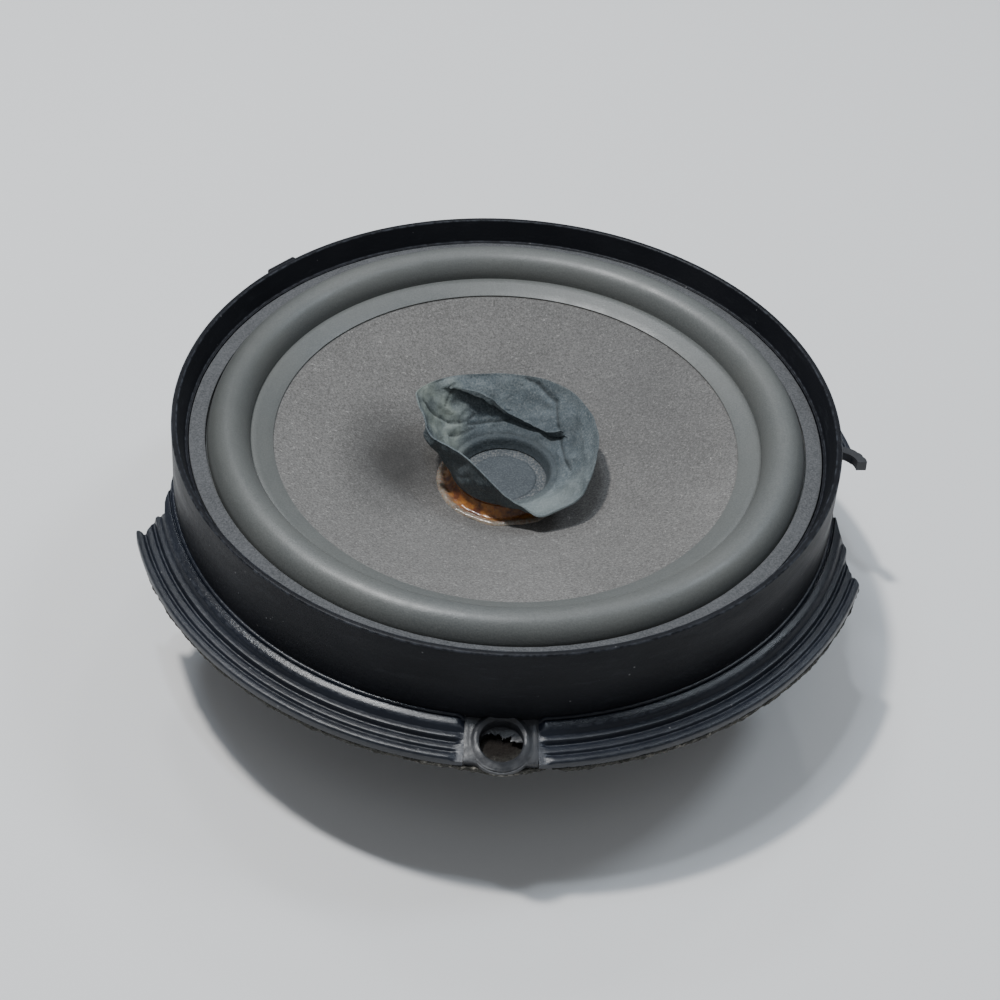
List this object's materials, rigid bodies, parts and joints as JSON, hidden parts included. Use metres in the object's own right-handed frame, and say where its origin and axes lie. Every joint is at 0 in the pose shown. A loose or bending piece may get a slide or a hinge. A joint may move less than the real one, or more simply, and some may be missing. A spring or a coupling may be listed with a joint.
{
  "type": "car door speaker",
  "caption": "Round car door speaker with a crushed whizzer cone, a deep black basket rim and a broken ridged mounting flange.",
  "frame": {"origin": "centre of the magnet system's back face", "axes": "+Z along the speaker's axis, the way the cone faces; -Y towards the whole screw boss at the front; +Y towards the terminals"},
  "size_m": [0.1836, 0.191, 0.062],
  "materials": {
    "basket_plastic": "moulded black plastic, glossy with scuffs and dust, scratched to grey on edges",
    "gasket_paper": "matt grey pressed fibre ring with light specks",
    "surround_rubber": "satin grey rubber with a fine dusty speckle",
    "cone_paper": "matt felted brown-grey paper with fine light fibres",
    "amber_glue": "clear to amber set glue, glossy",
    "dust_cap_paper": "matt grey doped paper",
    "whizzer_paper": "thin matt blue-grey paper, creased",
    "former_film": "brown polyimide film, semi gloss",
    "copper_wire": "enamelled copper wire winding",
    "spider_cloth": "resin-stiffened corrugated cloth, matt",
    "plated_steel": "zinc plated steel, satin",
    "ferrite": "dark grey pressed ferrite, matt",
    "board_laminate": "brown phenolic paper laminate, satin",
    "terminal_brass": "tinned brass, satin",
    "tinsel_braid": "braided copper tinsel, matt metal",
    "black_foam": "torn black foam with grey residue, matt"
  },
  "bodies": {
    "frame": {"basket": "basket_plastic", "gasket_ring": "gasket_paper", "surround": "surround_rubber", "spider": "spider_cloth", "top_plate": "plated_steel", "magnet": "ferrite", "yoke": "plated_steel", "basket_rivet_1": "plated_steel", "basket_rivet_2": "plated_steel", "basket_rivet_3": "plated_steel", "basket_rivet_4": "plated_steel", "terminal_board": "board_laminate", "terminal_tab_wide": "terminal_brass", "terminal_tab_narrow": "terminal_brass", "terminal_rivet_left": "terminal_brass", "tinsel_lead_left": "tinsel_braid", "terminal_rivet_right": "terminal_brass", "tinsel_lead_right": "tinsel_braid", "foam_gasket_front_left": "black_foam", "foam_gasket_front_right": "black_foam", "foam_gasket_rear": "black_foam"},
    "diaphragm": {"cone": "cone_paper", "glue_ring": "amber_glue", "dust_cap": "dust_cap_paper", "whizzer_cone": "whizzer_paper", "voice_coil_former": "former_film", "voice_coil_winding": "copper_wire", "cone_eyelet_left": "terminal_brass", "cone_eyelet_right": "terminal_brass"}
  },
  "joints": [
    {"name": "cone_travel", "type": "slide", "parent": "frame", "child": "diaphragm", "axis": [0, 0, 1], "range_m": [-0.0035, 0.0035], "stiffness_N_per_m": 2000, "deforming": ["surround", "spider", "tinsel_lead_left", "tinsel_lead_right"]}
  ]
}
